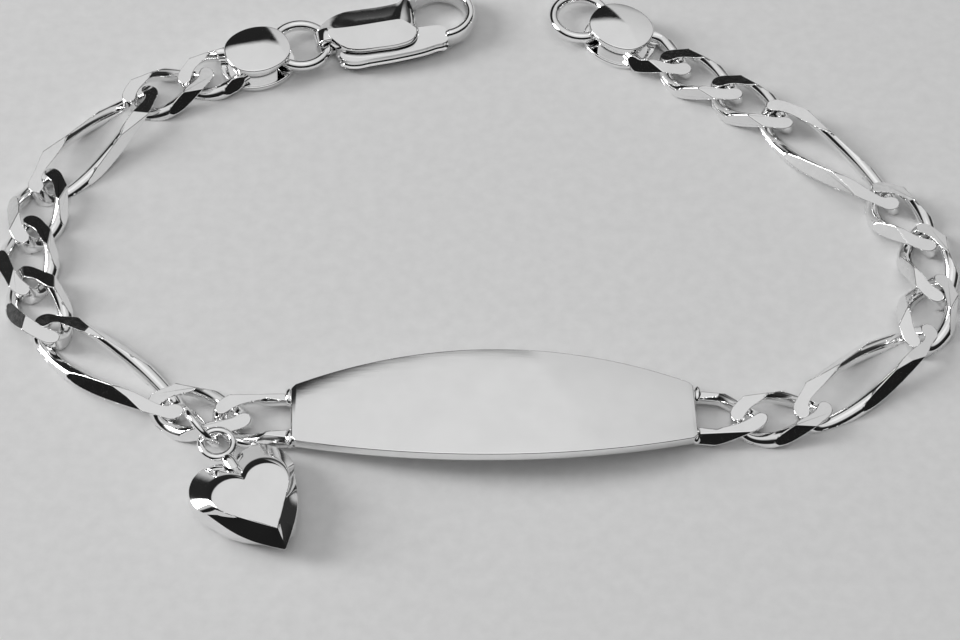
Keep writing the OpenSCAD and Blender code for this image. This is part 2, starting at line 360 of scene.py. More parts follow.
def new_object(data: bpy.types.ID) -> bpy.types.Object:
    """Makes an object named after its data and puts it in the scene.

    Args:
        data: its mesh, lamp or camera.

    Returns:
        The object.
    """
    obj = bpy.data.objects.new(data.name, data)
    bpy.context.scene.collection.objects.link(obj)
    return obj


class Graph:
    """The node tree of a new material or world."""

    def __init__(self, block: bpy.types.Material | bpy.types.World) -> None:
        """Turns the block's nodes on."""
        block.use_nodes = True
        self.tree = block.node_tree

    def wire(self, node: bpy.types.Node, values: dict, sources: dict) -> None:
        """Sets up a node's inputs.

        Args:
            node: the node.
            values: a value for each of these inputs.
            sources: the socket that feeds each of these.
        """
        for name, value in values.items():
            node.inputs[name].default_value = value
        for name, source in sources.items():
            self.tree.links.new(source, node.inputs[name])

    def add(self, kind: str, values: dict, sources: dict, **choices: str) -> bpy.types.Node:
        """Adds a node.

        Args:
            kind: its full type name.
            values: a value for each of these inputs.
            sources: the socket that feeds each of these.
            choices: its own settings.

        Returns:
            The node.
        """
        node = self.tree.nodes.new(kind)
        for name, choice in choices.items():
            setattr(node, name, choice)
        self.wire(node, values, sources)
        return node

    def coords(self, kind: str) -> Socket:
        """Texture coordinates of a kind."""
        return self.add("ShaderNodeTexCoord", {}, {}).outputs[kind]

    def noise(self, place: Socket, scale: float, detail: float) -> Socket:
        """A noise of a scale per metre and a detail."""
        values = {"Scale": scale, "Detail": detail}
        return self.add("ShaderNodeTexNoise", values, {"Vector": place}).outputs["Fac"]

    def spread(self, noise: Socket, low: float, high: float) -> Socket:
        """Maps a noise's usual range, 0.3 to 0.7, onto low to high."""
        ends = {"From Min": 0.3, "From Max": 0.7, "To Min": low, "To Max": high}
        return self.add("ShaderNodeMapRange", ends, {"Value": noise}).outputs["Result"]

    def ramp(self, place: Socket, stops: tuple[Pair, ...]) -> Socket:
        """Greys that go evenly from stop to stop.

        Args:
            place: the number that they depend on.
            stops: that number and the grey, for each stop.

        Returns:
            The grey.
        """
        node = self.add("ShaderNodeValToRGB", {}, {"Fac": place})
        spots = node.color_ramp.elements
        spots.remove(spots[1])
        for number, (at, grey) in enumerate(stops):
            spot = spots.new(at) if number else spots[0]
            spot.position = at
            spot.color = (grey, grey, grey, 1)
        return node.outputs["Color"]

    def bump(self, height: Socket, strength: float, depth: float, over: Socket | None = None) -> Socket:
        """Makes a bump.

        Args:
            height: its pattern.
            strength: its strength.
            depth: its depth in millimetres.
            over: the normal of another bump below it, where there is one.

        Returns:
            Its normal.
        """
        values = {"Strength": strength, "Distance": depth * MM}
        sources = {"Height": height} | ({"Normal": over} if over else {})
        return self.add("ShaderNodeBump", values, sources).outputs["Normal"]


@dataclass(frozen=True)
class Finish:
    """A metal's look. Its patterns read Object coordinates, so they stay fixed to the metal.

    Clouds vary its tone and fine streaks its roughness, each between two values. Its bump is ripples
    and scratches. Each noise has a scale per metre and a detail.
    """

    name: str
    tone: Pair = (0.90, 0.95)
    roughness: Pair = (0.05, 0.11)
    scratch: float = 0.06
    ripple: float = 0.05
    grain: Triple = (1.0, 1.0, 1.0)
    cloud_noise: Pair = (420.0, 3.0)
    fine_noise: Pair = (2600.0, 4.0)
    wave_noise: Pair = (260.0, 1.0)
    ripple_depth: float = 0.2
    scratch_depth: float = 0.02

    def material(self) -> bpy.types.Material:
        """Builds the node material: cloudy tone, streaky roughness, and a bump of ripples and scratches.

        Returns:
            The material, or the one that was built before.
        """
        found = bpy.data.materials.get(self.name)
        if found:
            return found
        made = bpy.data.materials.new(self.name)
        graph = Graph(made)
        place = graph.coords("Object")
        streak = graph.add("ShaderNodeMapping", {"Scale": self.grain}, {"Vector": place}).outputs["Vector"]
        fine = graph.noise(streak, *self.fine_noise)
        grey = graph.spread(graph.noise(place, *self.cloud_noise), *self.tone)
        tone = graph.add("ShaderNodeCombineColor", {}, {"Red": grey, "Green": grey, "Blue": grey})
        ripples = graph.bump(graph.noise(place, *self.wave_noise), self.ripple, self.ripple_depth)
        looks = {"Base Color": tone.outputs["Color"], "Roughness": graph.spread(fine, *self.roughness),
                 "Normal": graph.bump(fine, self.scratch, self.scratch_depth, ripples)}
        graph.wire(graph.tree.nodes["Principled BSDF"], {"Metallic": 1.0}, looks)
        return made


GROUND = Finish("ground_silver", roughness=(0.05, 0.12), ripple=0.03)
MIRROR = Finish("mirror_silver", roughness=(0.03, 0.08), ripple=0.06)
SATIN = Finish("satin_silver", tone=(0.92, 0.96), roughness=(0.07, 0.11), scratch=0.1, ripple=0.02,
               grain=(0.12, 1.0, 1.0))


@dataclass
class Piece:
    """One finished piece, ready to go on the part. It is named after its mesh."""

    mesh: bpy.types.Mesh
    finish: Finish
    slot: Slot
    stands_for: str = ""
    body: Body = Body.BRACELET
    edge: float = 0.0
    edge_angle: float = 25.0

    def fit(self) -> None:
        """Puts the piece in the scene, rounds its edges, and seats it on its body."""
        obj = new_object(self.mesh)
        self.mesh.materials.append(self.finish.material())
        if self.edge:
            bevel = obj.modifiers.new("worn_edges", "BEVEL")
            bevel.width = self.edge * MM
            bevel.segments = 2
            bevel.limit_method = "ANGLE"
            bevel.angle_limit = math.radians(self.edge_angle)
            bevel.use_clamp_overlap = False
            bevel.harden_normals = True
        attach(obj, self.body.value)
        if self.stands_for:
            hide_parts(self.stands_for)
        log.info("%s: %d faces on %s", obj.name, len(self.mesh.polygons), self.body.value)


@dataclass(frozen=True)
class LinkRow:
    """One row of a chain's table: the link, its heading, and how it was ground by hand.

    The two leans are how far its petals slope down outwards, the far petal being at the end away from
    the plate, and tip is how far they slope to the link's +Y side. The next two columns are how much
    steeper than usual its +Y and its -Y side are cut. These are in degrees. The last is the share of
    the wire's climb that those cuts follow on top of the usual one.
    """

    kind: LinkKind
    heading: float
    far_lean: float = 9.0
    near_lean: float = 6.0
    tip: float = 0.0
    left_cut: float = 0.0
    right_cut: float = 0.0
    follow: float = 0.0


@dataclass
class WireLink:
    """One figaro link: round wire on a superellipse, twisted about its length, ground flat top and
    bottom and cut along its outer edges.

    The plan is |x/a|^q + |y/b|^q = 1. A point at x is turned about X by -twist x / a, which lifts two
    opposite corners. The top slopes gently down towards each end, so that each raised corner becomes a
    petal, and a long link is level between them. A steep cut follows the wire along each outer side.
    """

    length: float
    width: float = 5.3
    wire: float = 1.38
    twist: float = 54.0
    square: float = 2.5
    stations: int = 168
    half_stations: int = 104
    sides: int = 30
    top: float = 1.1
    bottom: float = -0.9
    bend: float = 0.0
    edge_lean: float = 56.0
    edge_depth: float = 0.36
    follow: float = 0.0
    snap: float = 0.022
    worn: float = 0.065

    def half_sizes(self) -> Pair:
        """The plan's half length and half width, on the wire's centre line."""
        return (self.length - self.wire) / 2, (self.width - self.wire) / 2

    def loop(self, start: int, stop: int) -> Points:
        """Plan points of the centre line, half a degree apart.

        Args:
            start: first angle in degrees.
            stop: last angle.

        Returns:
            The points.
        """
        a, b = self.half_sizes()
        t = angles(start, stop, 2 * (stop - start) + 1)
        k = (np.abs(np.cos(t)) ** self.square + np.abs(np.sin(t)) ** self.square) ** (-1 / self.square)
        return np.stack([a * np.cos(t) * k, b * np.sin(t) * k], -1)

    def sweep(self, route: Points, half: bool) -> Points:
        """Carries the round wire along a plan route and twists it.

        Args:
            route: the centre line's plan points.
            half: whether only the outer half is a link, its sides running straight on.

        Returns:
            Array of stations by sides by 3.
        """
        a, b = self.half_sizes()
        reach = np.maximum(route[:, 0], 0) if half else route[:, 0]
        grow = np.abs(np.stack([reach / a, route[:, 1] / b], -1)) ** (self.square - 1)
        out = grow * np.sign(np.stack([reach, route[:, 1]], -1)) / (a, b)
        out /= np.linalg.norm(out, axis=1)[:, None]
        s = 2 * np.pi * (np.arange(self.sides) + 0.5) / self.sides
        r = self.wire / 2
        x = route[:, 0, None] + r * np.cos(s) * out[:, 0, None]
        y = route[:, 1, None] + r * np.cos(s) * out[:, 1, None]
        z = np.broadcast_to(r * np.sin(s), x.shape)
        return turned(x, y, z, -np.radians(self.twist) / a * (np.maximum(x, 0) if half else x))

    def edge_cut(self, side: int, steeper: float = 0.0, follow: float = 0.0) -> Cut:
        """The steep cut along an outer side.

        At the link's middle the twist makes the wire climb by b twist / a for each millimetre along. A
        cut whose normal is square to that climb runs evenly along the wire, and one that follows a
        share of it reaches further over the raised end.

        Args:
            side: 1 for the side towards +Y, -1 for the other.
            steeper: degrees on top of the usual lean.
            follow: the share of the climb that the cut follows.

        Returns:
            The cut.
        """
        a, b = self.half_sizes()
        up, out = along(self.edge_lean + steeper)
        climb = side * follow * b * math.radians(self.twist) / a
        normal = np.array([climb * up, side * out, up])
        normal /= np.linalg.norm(normal)
        return Cut(tuple(normal), float(normal[1] * side * b + self.wire / 2 - self.edge_depth))

    def cuts(self, row: LinkRow) -> list[Cut]:
        """The flats of one whole link, in its own frame.

        Args:
            row: its row of the chain's table.

        Returns:
            The level top and bottom, the petals' slopes and the two outer edges.
        """
        flats = [Cut((0.0, 0.0, 1.0), self.top), Cut((0.0, 0.0, -1.0), -self.bottom)]
        for lean, end in ((row.far_lean, 1.0), (row.near_lean, -1.0)):
            total = math.hypot(lean, row.tip)
            towards = (end * lean / total, row.tip / total)
            flats.append(Cut.leaning(total, towards, (end * self.bend, 0.0, self.top)))
        follow = self.follow + row.follow
        return flats + [self.edge_cut(1, row.left_cut, follow), self.edge_cut(-1, row.right_cut, follow)]

    def whole(self, node: str, seat: Seat, row: LinkRow) -> None:
        """Builds a whole link.

        Args:
            node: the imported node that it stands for.
            seat: where it lies.
            row: its row of the chain's table.
        """
        rings = self.sweep(even_path(self.loop(0, 360)[:-1], self.stations, True), False)
        self.finish(lay_mesh(f"{node}_wire", *joined(rings)), seat, self.cuts(row), node)

    def half(self, name: str, seat: Seat, run: float, petal: Cut, pull: float = 0.0) -> None:
        """Builds the outer half of a link, its two sides running on towards -X.

        Args:
            name: the piece's name.
            seat: where the link's middle lies.
            run: how far the sides run on.
            petal: the flat on its top.
            pull: how far each side is drawn in by its end, as 3 u^2 - 2 u^3 of its run.
        """
        b = self.half_sizes()[1]
        route = np.vstack([[[-run, -b]], self.loop(-90, 90), [[-run, b]]])
        route = even_path(route, self.half_stations, False)
        rings = self.sweep(route, True)
        rings[..., 1] -= (np.sign(route[:, 1]) * pull * ease(np.clip(-route[:, 0] / run, 0, 1)))[:, None]
        flats = [petal, Cut((0.0, 0.0, -1.0), -self.bottom)] + [self.edge_cut(side) for side in (1, -1)]
        self.finish(lay_mesh(name, *capped(rings)), seat, flats, "")

    def finish(self, mesh: bpy.types.Mesh, seat: Seat, flats: list[Cut], node: str) -> None:
        """Grinds a link's flats, moves it to its seat and fits it.

        Args:
            mesh: the link in its own frame.
            seat: where it lies.
            flats: its cuts.
            node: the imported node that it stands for, or nothing.
        """
        grind(mesh, flats, self.snap)
        mesh.vertices.foreach_set("co", (seat.place(mesh_points(mesh) / MM) * MM).ravel())
        mesh.update()
        Piece(mesh, GROUND, Slot.SILVER, node, edge=self.worn).fit()


@dataclass
class Layout:
    """The bracelet's plan: where each link, tag and ring lies.

    The chains run outwards from the plate's ends. Each joint is the last one plus a link's pitch along
    its heading, and a link's middle is half way between its two joints. Where two values stand for the
    two sides, the left one comes first.
    """

    plate_len: float = 32.5
    short_len: float = 8.56
    long_len: float = 15.44
    overlap: float = 3.26
    centre: Pair = (-0.2, 17.05)
    link_z: float = 0.9
    left_rows: tuple[LinkRow, ...] = (
        LinkRow(LinkKind.SHORT, 166.8, left_cut=9.0), LinkRow(LinkKind.LONG, 142.5, follow=-0.3),
        LinkRow(LinkKind.SHORT, 115.1, left_cut=-26.0, right_cut=-6.0, follow=0.6),
        LinkRow(LinkKind.SHORT, 91.5, left_cut=-26.0), LinkRow(LinkKind.SHORT, 77.1, left_cut=-20.0),
        LinkRow(LinkKind.LONG, 51.8, tip=5.5, right_cut=14.0), LinkRow(LinkKind.SHORT, 27.0))
    right_rows: tuple[LinkRow, ...] = (
        LinkRow(LinkKind.SHORT, 8.3), LinkRow(LinkKind.LONG, 36.5, follow=-0.25),
        LinkRow(LinkKind.SHORT, 65.5), LinkRow(LinkKind.SHORT, 93.3), LinkRow(LinkKind.SHORT, 120.8),
        LinkRow(LinkKind.LONG, 132.9, far_lean=2.0), LinkRow(LinkKind.SHORT, 141.4, left_cut=16.0),
        LinkRow(LinkKind.SHORT, 144.8, left_cut=16.0))
    first_headings: Pair = (180.7, -6.0)
    first_reaches: Pair = (4.59, 4.33)
    tag_headings: Pair = (24.0, 143.0)
    ring_headings: Pair = (20.0, 150.0)
    tag_reach: float = 5.9
    ring_from_tag: float = 4.05
    ring_outer: float = 5.8
    ring_wire: float = 0.95
    ring_z: float = 1.125
    clasp_from: float = 10.0
    clasp_heading: float = 12.0

    def seat(self, point: np.ndarray, heading: float = 0.0, z: float = 0.0) -> Seat:
        """A seat in the part's frame, for a point of the plan."""
        return Seat(float(point[0] - self.centre[0]), float(point[1] - self.centre[1]), heading, z)

    def rows(self, side: int) -> tuple[LinkRow, ...]:
        """A chain's table, side being 0 on the left and 1 on the right."""
        return (self.left_rows, self.right_rows)[side]

    def pitch(self, kind: LinkKind) -> float:
        """From one joint to the next along a link."""
        return (self.long_len if kind is LinkKind.LONG else self.short_len) - self.overlap

    def from_plate(self, side: int, reach: float) -> np.ndarray:
        """The point at a reach from the middle of a plate's end, along its half link's heading."""
        end = np.array([self.plate_len / 2 * (1 if side else -1), 0.0])
        return end + reach * along(self.first_headings[side])

    def joints(self, side: int) -> Points:
        """All joints of a chain, from the plate outwards."""
        steps = np.array([self.pitch(row.kind) * along(row.heading) for row in self.rows(side)])
        return self.from_plate(side, self.first_reaches[side]) + np.vstack([[0.0, 0.0], np.cumsum(steps, 0)])

    def tag(self, side: int, reach: float) -> np.ndarray:
        """The point at a reach from a chain's last joint along its tag's heading."""
        return self.joints(side)[-1] + reach * along(self.tag_headings[side])

    def ring(self, side: int) -> Seat:
        """The seat of an end ring."""
        point = self.tag(side, self.tag_reach) + self.ring_from_tag * along(self.ring_headings[side])
        return self.seat(point, 0.0, self.ring_z)

    def clasp(self) -> Seat:
        """The seat of the clasp, on the left ring's wire."""
        x, y = (self.ring_outer - self.ring_wire) / 2 * along(self.clasp_from)
        return Seat(self.ring(0).x + x, self.ring(0).y + y, self.clasp_heading)


@dataclass
class Chain:
    """The two lengths of figaro chain between the plate and the end tags."""

    layout: Layout

    def link(self, kind: LinkKind) -> WireLink:
        """One of the two links.

        Args:
            kind: which.

        Returns:
            Its sizes.
        """
        if kind is LinkKind.SHORT:
            return WireLink(self.layout.short_len)
        return WireLink(self.layout.long_len, twist=56.0, square=4.0, stations=264, top=1.05, bend=3.4,
                        edge_lean=50.0, edge_depth=0.38, follow=0.6)

    def build(self) -> None:
        """Builds every loose link, numbered from the plate outwards, the soldered one being the first."""
        for side, word in enumerate(("left", "right")):
            joints = self.layout.joints(side)
            for number, row in enumerate(self.layout.rows(side)):
                middle = (joints[number] + joints[number + 1]) / 2
                seat = self.layout.seat(middle, row.heading, self.layout.link_z)
                self.link(row.kind).whole(f"{word}_link_{number + 2}", seat, row)


@dataclass
class NamePlate:
    """The arched plate, bare on top, with half a link soldered under each end.

    Its width follows an arc from end to end, and so does its height. Its section is a rectangle with
    rounded corners: the corner's centre plus r (cos, sin), laid between the upper and the lower arc.
    """

    layout: Layout
    width: float = 10.1
    end_width: float = 5.2
    thickness: float = 0.95
    rise: float = 1.5
    end_z: float = 0.75
    corner_in: float = 0.275
    round_r: float = 0.12
    lap: float = 0.7
    petal_lean: float = 6.5
    petal_at: Triple = (2.2, 0.0, 0.86)
    solder: Triple = (0.42, 0.85, 0.6)
    solder_in: float = 0.1
    solder_z: float = 0.05
    stations: int = 180
    corner_steps: int = 5
    end_steps: int = 5
    sharp: float = 40.0
    drop_rows: int = 15
    drop_sides: int = 24
    drop_end: float = 88.0
    drop_sharp: float = 60.0

    @staticmethod
    def arc_radius(chord: float, rise: float) -> float:
        """Radius of the arc over a chord, by its rise."""
        return (chord * chord / 4 + rise * rise) / (2 * rise)

    def half_width(self, x: np.ndarray) -> np.ndarray:
        """Half the plate's width: the bowed edge, cut at 45 degrees at the corner.

        Args:
            x: along the plate.

        Returns:
            The half width there.
        """
        half = self.layout.plate_len / 2
        bow = self.arc_radius(2 * half, (self.width - self.end_width) / 2)
        edge = self.width / 2 - bow + np.sqrt(bow ** 2 - x ** 2)
        return np.minimum(edge, self.end_width / 2 + half - np.abs(x) - self.corner_in)

    def heights(self, x: np.ndarray) -> tuple[np.ndarray, np.ndarray]:
        """The lower and upper arc's heights at x.

        Args:
            x: along the plate.

        Returns:
            Both heights.
        """
        outer = self.arc_radius(self.layout.plate_len, self.rise)
        base = self.end_z + self.thickness + self.rise - outer
        return base + np.sqrt((outer - self.thickness) ** 2 - x ** 2), base + np.sqrt(outer ** 2 - x ** 2)

    def section(self) -> tuple[np.ndarray, np.ndarray]:
        """The unit section: for each point, its corner's side and its place round that corner.

        Returns:
            Signs of y and z, and the corner's cosine and sine.
        """
        quarter = spokes(angles(0, 90, self.corner_steps))
        signs = ((1, 1), (-1, 1), (-1, -1), (1, -1))
        corners = [quarter[::1 - 2 * (number % 2)] * pair for number, pair in enumerate(signs)]
        return np.repeat(signs, self.corner_steps, axis=0), np.vstack(corners)

    def plate(self) -> Surface:
        """The plate's surface, its ends rounded by the same small radius.

        Returns:
            Points and faces.
        """
        half = self.layout.plate_len / 2
        turn = angles(0, 90, self.end_steps)
        rim_x = half - self.round_r * (1 - np.sin(turn))
        rim_in = self.round_r * (1 - np.cos(turn))
        middle = (half - self.round_r) * np.sin(angles(-90, 90, self.stations))
        x = np.concatenate([-rim_x[::-1], middle[1:-1], rim_x])
        shrink = np.concatenate([rim_in[::-1], np.zeros(self.stations - 2), rim_in])
        low, high = self.heights(np.clip(x, -half, half))
        side, corner = self.section()
        wide = (self.half_width(x) - shrink)[:, None]
        y = side[:, 0] * (wide - self.round_r) + self.round_r * corner[:, 0]
        top = (high - shrink)[:, None]
        under = (low + shrink)[:, None]
        z = np.where(side[:, 1] > 0, top - self.round_r, under + self.round_r) + self.round_r * corner[:, 1]
        return capped(np.stack([np.broadcast_to(x[:, None], y.shape), y, z], -1))

    def build(self, link: WireLink) -> None:
        """Builds the plate and its two soldered half links.

        Args:
            link: the short link that they are halves of.
        """
        mesh = solid("id_plate_sheet", self.plate(), self.layout.seat(np.zeros(2)), self.sharp)
        Piece(mesh, SATIN, Slot.SILVER, "id_plate").fit()
        petal = Cut.leaning(self.petal_lean, (-1.0, 0.0), self.petal_at)
        for side, word in enumerate(("left", "right")):
            out = self.layout.first_reaches[side] - self.layout.pitch(LinkKind.SHORT) / 2
            heading = self.layout.first_headings[side]
            seat = self.layout.seat(self.layout.from_plate(side, out), heading, self.layout.link_z)
            link.half(f"id_plate_{word}_half_link", seat, out + self.lap, petal)
            for number, end in enumerate((-1, 1)):
                at = (self.solder_in - out, end * link.half_sizes()[1], self.solder_z)
                self.solder_drop(f"id_plate_{word}_solder_{number + 1}", seat, at)

    def solder_drop(self, name: str, seat: Seat, at: Triple) -> None:
        """Lays a drop of solder where a half link's side meets the plate: a ball stretched along three
        axes.

        Args:
            name: the piece's name.
            seat: the half link's seat.
            at: the drop's middle, in the half link's frame.
        """
        level = circle(self.drop_sides)
        rows = [np.column_stack([math.cos(up) * level, np.full(len(level), math.sin(up))])
                for up in angles(-self.drop_end, self.drop_end, self.drop_rows)]
        mesh = solid(name, capped(np.stack(rows) * self.solder + at), seat, self.drop_sharp)
        Piece(mesh, MIRROR, Slot.SILVER).fit()


@dataclass
class EndTag:
    """Two oval leaves over each other, with a core, a post for the ring and half a link between them.

    A leaf's outline is the overlap of two equal discs and a third that cuts it to length, taken as a
    distance from the middle for each direction. Its rim is rounded and its top swells a little.
    """

    layout: Layout
    length: float = 5.9
    width: float = 5.2
    step: float = 0.4
    leaf: float = 0.5
    slot: float = 1.25
    rim_r: float = 0.13
    disc_share: float = 1.25
    softness: float = 10.0
    post_r: float = 0.36
    post_x: float = 2.62
    core_x: float = 0.95
    core_size: Pair = (5.3, 4.6)
    core_lap: float = 0.05
    lap_x: float = -1.3
    pull: float = 0.75
    petal_lean: float = 9.0
    swell: float = 0.24
    columns: int = 128
    rim_steps: int = 5
    top_rings: int = 14
    top_end: float = 0.02
    post_sides: int = 32
    leaf_sharp: float = 40.0
    inner_sharp: float = 30.0

    def outline(self, length: float, width: float) -> Points:
        """A leaf's outline.

        Args:
            length: its length.
            width: its width.

        Returns:
            Its points.
        """
        ray = circle(self.columns)
        reach = length * self.disc_share
        disc_r = (reach * reach / 4 + width * width / 4) / width
        reaches = [np.full(self.columns, length / 2)]
        for side in (1, -1):
            middle = side * (width / 2 - disc_r)
            across = middle * ray[:, 1]
            reaches.append(across + np.sqrt(across ** 2 - middle ** 2 + disc_r ** 2))
        least = -np.log(sum(np.exp(-self.softness * r) for r in reaches)) / self.softness
        return ray * least[:, None]

    def leaf_rings(self, outline: Points, low: float, swell: float) -> Points:
        """A leaf from its underside up: rounded rim, then rings that shrink over the swelling top.

        Args:
            outline: its outline.
            low: height of its underside.
            swell: how far its middle stands above its rim.

        Returns:
            The rings.
        """
        insets, rim_z = rounded_rims(low, low + self.leaf, self.rim_r, self.rim_steps)
        rings = [inset(outline, d) for d in insets]
        share = np.linspace(1, self.top_end, self.top_rings)[1:]
        rings += [rings[-1] * s for s in share]
        return stack(rings, [*rim_z, *(low + self.leaf + swell * (1 - share * share))])

    def build(self, side: int, node: str, link: WireLink) -> None:
        """Builds one tag.

        Args:
            side: 0 on the left, 1 on the right.
            node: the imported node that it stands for.
            link: the short link whose half is soldered in.
        """
        heading = self.layout.tag_headings[side]
        seat = self.layout.seat(self.layout.tag(side, self.layout.tag_reach), heading)
        lower = self.outline(self.length + 2 * self.step, self.width + 2 * self.step)
        upper = self.outline(self.length, self.width)
        top_z = self.leaf + self.slot
        core = self.outline(*self.core_size)
        core[:, 0] = np.minimum(core[:, 0], self.core_x)
        post = self.post_r * circle(self.post_sides) + (self.post_x, 0.0)
        span = [self.leaf - self.core_lap, top_z + self.core_lap]
        pieces = (("lower_leaf", self.leaf_rings(lower, 0.0, 0.0), MIRROR, self.leaf_sharp),
                  ("upper_leaf", self.leaf_rings(upper, top_z, self.swell), MIRROR, self.leaf_sharp),
                  ("core", stack([core, core], span), GROUND, self.inner_sharp),
                  ("post", stack([post, post], span), MIRROR, self.inner_sharp))
        for word, rings, finish, sharp in pieces:
            mesh = solid(f"{node}_{word}", capped(rings), seat, sharp)
            Piece(mesh, finish, Slot.SILVER, node if word == "upper_leaf" else "").fit()
        half_pitch = self.layout.pitch(LinkKind.SHORT) / 2
        link_seat = self.layout.seat(self.layout.tag(side, half_pitch), heading + 180, self.layout.link_z)
        petal = Cut.leaning(self.petal_lean, (1.0, 0.0), (0.0, 0.0, link.top))
        run = self.layout.tag_reach - half_pitch + self.lap_x
        link.half(f"{node}_half_link", link_seat, run, petal, self.pull)


@dataclass(frozen=True)
class RoundRing:
    """A round wire ring: the wire's circle carried round a larger one, then leaned about the ring's
    own X axis and seated."""

    outer: float
    wire: float
    stations: int = 128
    sides: int = 32
    sharp: float = 60.0

    def surface(self, lean: float) -> Surface:
        """The ring's surface about its middle.

        Args:
            lean: how far its plane is turned up about X, in degrees.

        Returns:
            Points and faces.
        """
        wire = self.wire / 2 * circle(self.sides)
        reach = (self.outer - self.wire) / 2 + wire[:, 0]
        x, y = circle(self.stations).T[:, :, None] * reach
        return joined(turned(x, y, np.broadcast_to(wire[:, 1], x.shape), math.radians(lean)))

    def build(self, name: str, node: str, seat: Seat, lean: float = 0.0) -> None:
        """Builds the ring at its seat, standing for a node where one is named."""
        mesh = solid(name, self.surface(lean), seat, self.sharp)
        Piece(mesh, MIRROR, Slot.POLISHED, node).fit()


@dataclass
class Clasp:
    """The lobster clasp: an eye, a faceted body with the lever's slot, a round hook and the lever.

    Its own frame has X from the ring's wire in the eye to the hook and Y to the hook's closed side.
    The body is a stack of outlines: upright walls on the open side, where the slot is let in, and a
    slope on the closed side that rises to the flat facet on top.
    """

    layout: Layout
    thickness: float = 2.3
    lever_t: float = 1.1
    lever_rim: float = 0.42
    lever_steps: int = 8
    play: float = 0.12
    sharp: float = 34.0
    hook_at: Pair = (10.55, 1.02)
    hook_line_r: float = 2.75
    hook_from: float = 142.0
    tip_back: float = 0.25
    hook_half_w: float = 0.46
    hook_half_h: float = 1.02
    hook_square: float = 0.75
    hook_lower: float = 0.12
    hook_lower_from: float = 60.0
    hook_lower_over: float = 150.0
    hook_round: float = 9.0
    hook_end: float = 0.1
    hook_stations: int = 84
    hook_sides: int = 28
    per_side: int = 14
    # Where the open side starts, going towards +X and towards -Y, and how far on it is full
    open_x: Pair = (0.48, 0.8)
    open_y: Pair = (0.4, 1.2)
    slot_depth: float = 1.5
    slot_rim: float = 0.06
    shoulder: float = 1.66
    slope_bulge: float = 0.06
    slope_shares: tuple[float, ...] = (0.0, 0.06, 0.2, 0.4, 0.6, 0.8, 1.0)
    facet_rim: float = 0.25
    eye_inner: float = 0.68
    eye_outer: float = 1.15
    eye_half: float = 0.75
    eye_rim: float = 0.14
    eye_steps: int = 5
    eye_stations: int = 64
    eye_sharp: float = 40.0
    # Matching corners of the body's outline and of the flat facet, anticlockwise from the eye's near
    # side. The slope's lower edge is the body's outline, with other corners where it reaches over the
    # ring: its first one and its last ones
    body: tuple[Pair, ...] = (
        (0.45, -0.95), (1.0, -1.95), (2.3, -2.5), (4.1, -2.62), (5.9, -2.62), (7.3, -2.25), (8.0, -1.25),
        (8.15, 0.1), (8.2, 2.2), (7.95, 3.35), (6.9, 2.85), (5.2, 2.72), (3.7, 2.74), (2.2, 2.66),
        (1.05, 2.1), (0.55, 1.1), (0.62, 0.1))
    brow_first: Pair = (0.2, -0.95)
    brow_last: tuple[Pair, ...] = ((2.0, 2.7), (0.6, 2.2), (-0.45, 1.3), (-0.35, 0.35))
    facet: tuple[Pair, ...] = (
        (0.25, -0.7), (1.05, -1.8), (2.3, -2.36), (4.1, -2.52), (5.8, -2.55), (7.25, -2.15), (7.8, -1.2),
        (7.5, -0.5), (7.1, 0.0), (6.7, 0.32), (5.9, 0.36), (4.9, 0.35), (3.7, 0.33), (2.4, 0.33),
        (1.2, 0.38), (0.3, 0.45), (0.0, 0.05))
    lever: tuple[Pair, ...] = (
        (10.1, -1.05), (8.2, -0.85), (6.6, -0.75), (5.2, -0.35), (4.4, -0.35), (3.8, -1.2), (3.0, -1.85),
        (1.5, -2.05), (1.05, -2.35), (1.45, -2.75), (2.2, -2.9), (3.2, -2.84), (5.4, -2.8), (7.7, -2.64),
        (9.2, -2.36), (10.1, -2.15))

    def body_rings(self) -> Points:
        """The body's rings, from the floor up, its slot let in on the open side.

        Returns:
            The rings.
        """
        brow = (self.brow_first, *self.body[1:-len(self.brow_last)], *self.brow_last)
        outline, brow, facet = (smooth_loop(o, self.per_side) for o in (self.body, brow, self.facet))
        # 1 along the open side, 0 along the closed one
        near = ease(np.clip((self.open_y[0] - outline[:, 1]) / self.open_y[1], 0, 1)
                    * np.clip((outline[:, 0] - self.open_x[0]) / self.open_x[1], 0, 1))
        low = (self.thickness - self.lever_t) / 2 - self.play
        high = self.thickness - low
        rim, deep = self.slot_rim, self.slot_depth
        # How far in all round, how much more on the open side, height on the open and on the closed side
        table = ((0.4, 0.0, 0.02, 0.02), (0.16, 0.0, 0.04, 0.04), (0.05, 0.0, 0.12, 0.12),
                 (0.0, 0.0, 0.24, 0.24), (0.0, 0.0, low - rim, 0.5), (0.0, rim, low, 0.62),
                 (0.0, deep, low, 0.7), (0.0, deep, high, 0.9), (0.0, rim, high, 0.98),
                 (0.0, 0.0, high + rim, 1.63))
        outlines = [inset(outline, all_round + slot * near) for all_round, slot, _, _ in table]
        heights = [near * near_z + (1 - near) * far_z for _, _, near_z, far_z in table]
        for share in self.slope_shares:
            outlines.append(brow * (1 - share) + facet * share)
            far_z = (self.shoulder + (self.thickness - self.shoulder) * share
                     + self.slope_bulge * math.sin(math.pi * share))
            near_z = self.thickness - self.facet_rim * (1 - math.sin(math.pi / 2 * share))
            heights.append(near * near_z + (1 - near) * far_z)
        return stack(outlines, heights)

